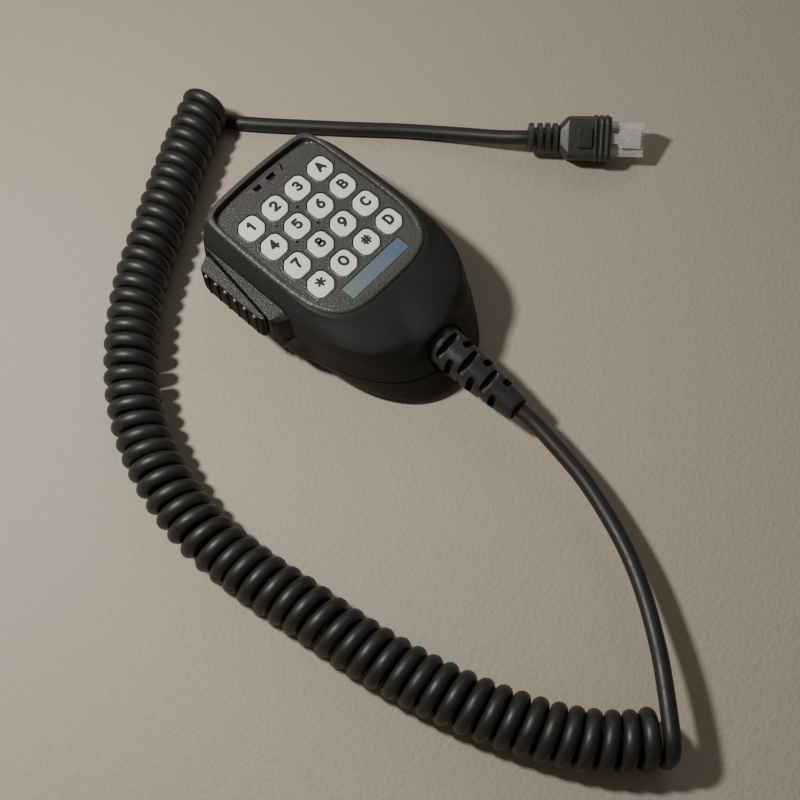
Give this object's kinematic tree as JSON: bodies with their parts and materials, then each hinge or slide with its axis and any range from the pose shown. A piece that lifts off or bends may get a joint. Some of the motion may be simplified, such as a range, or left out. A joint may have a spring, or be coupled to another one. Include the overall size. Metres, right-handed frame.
{
  "type": "hand microphone",
  "caption": "Black hand microphone with a raised square keypad, a push-to-talk bar along one side and a curly cord that ends in a clear modular plug.",
  "frame": {"origin": "centre of the hang-up button's face, on the surface that the microphone lies on", "axes": "+Z out of the keypad, +Y towards the top of the microphone away from its cord gland, -X towards the push-to-talk bar"},
  "size_m": [0.2132, 0.2667, 0.0302],
  "materials": {
    "case_plastic": "satin black, finely textured",
    "bezel_plastic": "coarse grain",
    "key_plastic": "satin off-white",
    "label_metal": "blue-grey coat",
    "lens_plastic": "smoky lens",
    "grip_plastic": "grained, with a glossy ribbed side",
    "cord_rubber": "satin black jacket",
    "plug_rubber": "satin",
    "clear_plastic": "clear moulding",
    "contact_gold": "gold plated",
    "screw_steel": "plain",
    "board_green": "solder mask",
    "silicone": "matt",
    "chip_black": "matt"
  },
  "bodies": {
    "case": {"front_case": "case_plastic", "rear_case": "case_plastic", "hang_button": "case_plastic", "keypad_bezel": "bezel_plastic", "cord_header": "key_plastic", "label_strip": "label_metal", "status_lens": "lens_plastic", "status_led": "lens_plastic", "talk_frame": "grip_plastic", "cord_boot": "cord_rubber", "inner_lead": "cord_rubber", "lead_cord": "cord_rubber", "coil_cord": "cord_rubber", "tail_cord": "cord_rubber", "plug_boot": "plug_rubber", "plug_body": "clear_plastic", "plug_contact_1": "contact_gold", "plug_contact_2": "contact_gold", "plug_contact_3": "contact_gold", "plug_contact_4": "contact_gold", "plug_contact_5": "contact_gold", "plug_contact_6": "contact_gold", "plug_contact_7": "contact_gold", "plug_contact_8": "contact_gold", "case_screw_1": "screw_steel", "case_screw_2": "screw_steel", "case_screw_3": "screw_steel", "case_screw_4": "screw_steel", "board_screw_1": "screw_steel", "board_screw_2": "screw_steel", "hang_screw": "screw_steel", "hang_washer": "screw_steel", "talk_pivot_pin": "screw_steel", "mic_capsule": "screw_steel", "cord_clamp": "screw_steel", "circuit_board": "board_green", "key_membrane": "silicone", "mic_grommet": "silicone", "encoder_chip": "chip_black", "talk_switch": "chip_black"},
    "key_1_cap": {"key_1": "key_plastic"},
    "key_2_cap": {"key_2": "key_plastic"},
    "key_3_cap": {"key_3": "key_plastic"},
    "key_a_cap": {"key_a": "key_plastic"},
    "key_4_cap": {"key_4": "key_plastic"},
    "key_5_cap": {"key_5": "key_plastic"},
    "key_6_cap": {"key_6": "key_plastic"},
    "key_b_cap": {"key_b": "key_plastic"},
    "key_7_cap": {"key_7": "key_plastic"},
    "key_8_cap": {"key_8": "key_plastic"},
    "key_9_cap": {"key_9": "key_plastic"},
    "key_c_cap": {"key_c": "key_plastic"},
    "key_star_cap": {"key_star": "key_plastic"},
    "key_0_cap": {"key_0": "key_plastic"},
    "key_hash_cap": {"key_hash": "key_plastic"},
    "key_d_cap": {"key_d": "key_plastic"},
    "talk_bar_swing": {"talk_bar": "grip_plastic"},
    "plunger_slide": {"switch_plunger": "key_plastic"},
    "latch_flex": {"plug_latch": "clear_plastic"}
  },
  "joints": [
    {"name": "key_1_press", "type": "slide", "parent": "case", "child": "key_1_cap", "axis": [0, 0, -1], "range_m": [0, 0.0008], "stiffness_N_per_m": 200, "springref_m": -0.0004},
    {"name": "key_2_press", "type": "slide", "parent": "case", "child": "key_2_cap", "axis": [0, 0, -1], "range_m": [0, 0.0008], "stiffness_N_per_m": 200, "springref_m": -0.0004},
    {"name": "key_3_press", "type": "slide", "parent": "case", "child": "key_3_cap", "axis": [0, 0, -1], "range_m": [0, 0.0008], "stiffness_N_per_m": 200, "springref_m": -0.0004},
    {"name": "key_a_press", "type": "slide", "parent": "case", "child": "key_a_cap", "axis": [0, 0, -1], "range_m": [0, 0.0008], "stiffness_N_per_m": 200, "springref_m": -0.0004},
    {"name": "key_4_press", "type": "slide", "parent": "case", "child": "key_4_cap", "axis": [0, 0, -1], "range_m": [0, 0.0008], "stiffness_N_per_m": 200, "springref_m": -0.0004},
    {"name": "key_5_press", "type": "slide", "parent": "case", "child": "key_5_cap", "axis": [0, 0, -1], "range_m": [0, 0.0008], "stiffness_N_per_m": 200, "springref_m": -0.0004},
    {"name": "key_6_press", "type": "slide", "parent": "case", "child": "key_6_cap", "axis": [0, 0, -1], "range_m": [0, 0.0008], "stiffness_N_per_m": 200, "springref_m": -0.0004},
    {"name": "key_b_press", "type": "slide", "parent": "case", "child": "key_b_cap", "axis": [0, 0, -1], "range_m": [0, 0.0008], "stiffness_N_per_m": 200, "springref_m": -0.0004},
    {"name": "key_7_press", "type": "slide", "parent": "case", "child": "key_7_cap", "axis": [0, 0, -1], "range_m": [0, 0.0008], "stiffness_N_per_m": 200, "springref_m": -0.0004},
    {"name": "key_8_press", "type": "slide", "parent": "case", "child": "key_8_cap", "axis": [0, 0, -1], "range_m": [0, 0.0008], "stiffness_N_per_m": 200, "springref_m": -0.0004},
    {"name": "key_9_press", "type": "slide", "parent": "case", "child": "key_9_cap", "axis": [0, 0, -1], "range_m": [0, 0.0008], "stiffness_N_per_m": 200, "springref_m": -0.0004},
    {"name": "key_c_press", "type": "slide", "parent": "case", "child": "key_c_cap", "axis": [0, 0, -1], "range_m": [0, 0.0008], "stiffness_N_per_m": 200, "springref_m": -0.0004},
    {"name": "key_star_press", "type": "slide", "parent": "case", "child": "key_star_cap", "axis": [0, 0, -1], "range_m": [0, 0.0008], "stiffness_N_per_m": 200, "springref_m": -0.0004},
    {"name": "key_0_press", "type": "slide", "parent": "case", "child": "key_0_cap", "axis": [0, 0, -1], "range_m": [0, 0.0008], "stiffness_N_per_m": 200, "springref_m": -0.0004},
    {"name": "key_hash_press", "type": "slide", "parent": "case", "child": "key_hash_cap", "axis": [0, 0, -1], "range_m": [0, 0.0008], "stiffness_N_per_m": 200, "springref_m": -0.0004},
    {"name": "key_d_press", "type": "slide", "parent": "case", "child": "key_d_cap", "axis": [0, 0, -1], "range_m": [0, 0.0008], "stiffness_N_per_m": 200, "springref_m": -0.0004},
    {"name": "talk_press", "type": "hinge", "parent": "case", "child": "talk_bar_swing", "pos_m": [-0.0313, -0.0064, 0.019], "axis": [0, 0, -1], "range_deg": [0, 1.5], "stiffness_Nm_per_rad": 0.6, "springref_deg": -57.3},
    {"name": "switch_press", "type": "slide", "parent": "case", "child": "plunger_slide", "axis": [1, 0, 0], "range_m": [0, 0.00049]},
    {"name": "latch_press", "type": "hinge", "parent": "case", "child": "latch_flex", "pos_m": [0.1057, -0.04705, 0.01063], "axis": [-0.6247, -0.5298, -0.5736], "range_deg": [0, 4], "stiffness_Nm_per_rad": 0.5, "springref_deg": -57.3}
  ],
  "couplings": [
    {"joint": "switch_press", "follows": "talk_press", "m_per_rad": 0.0184}
  ]
}
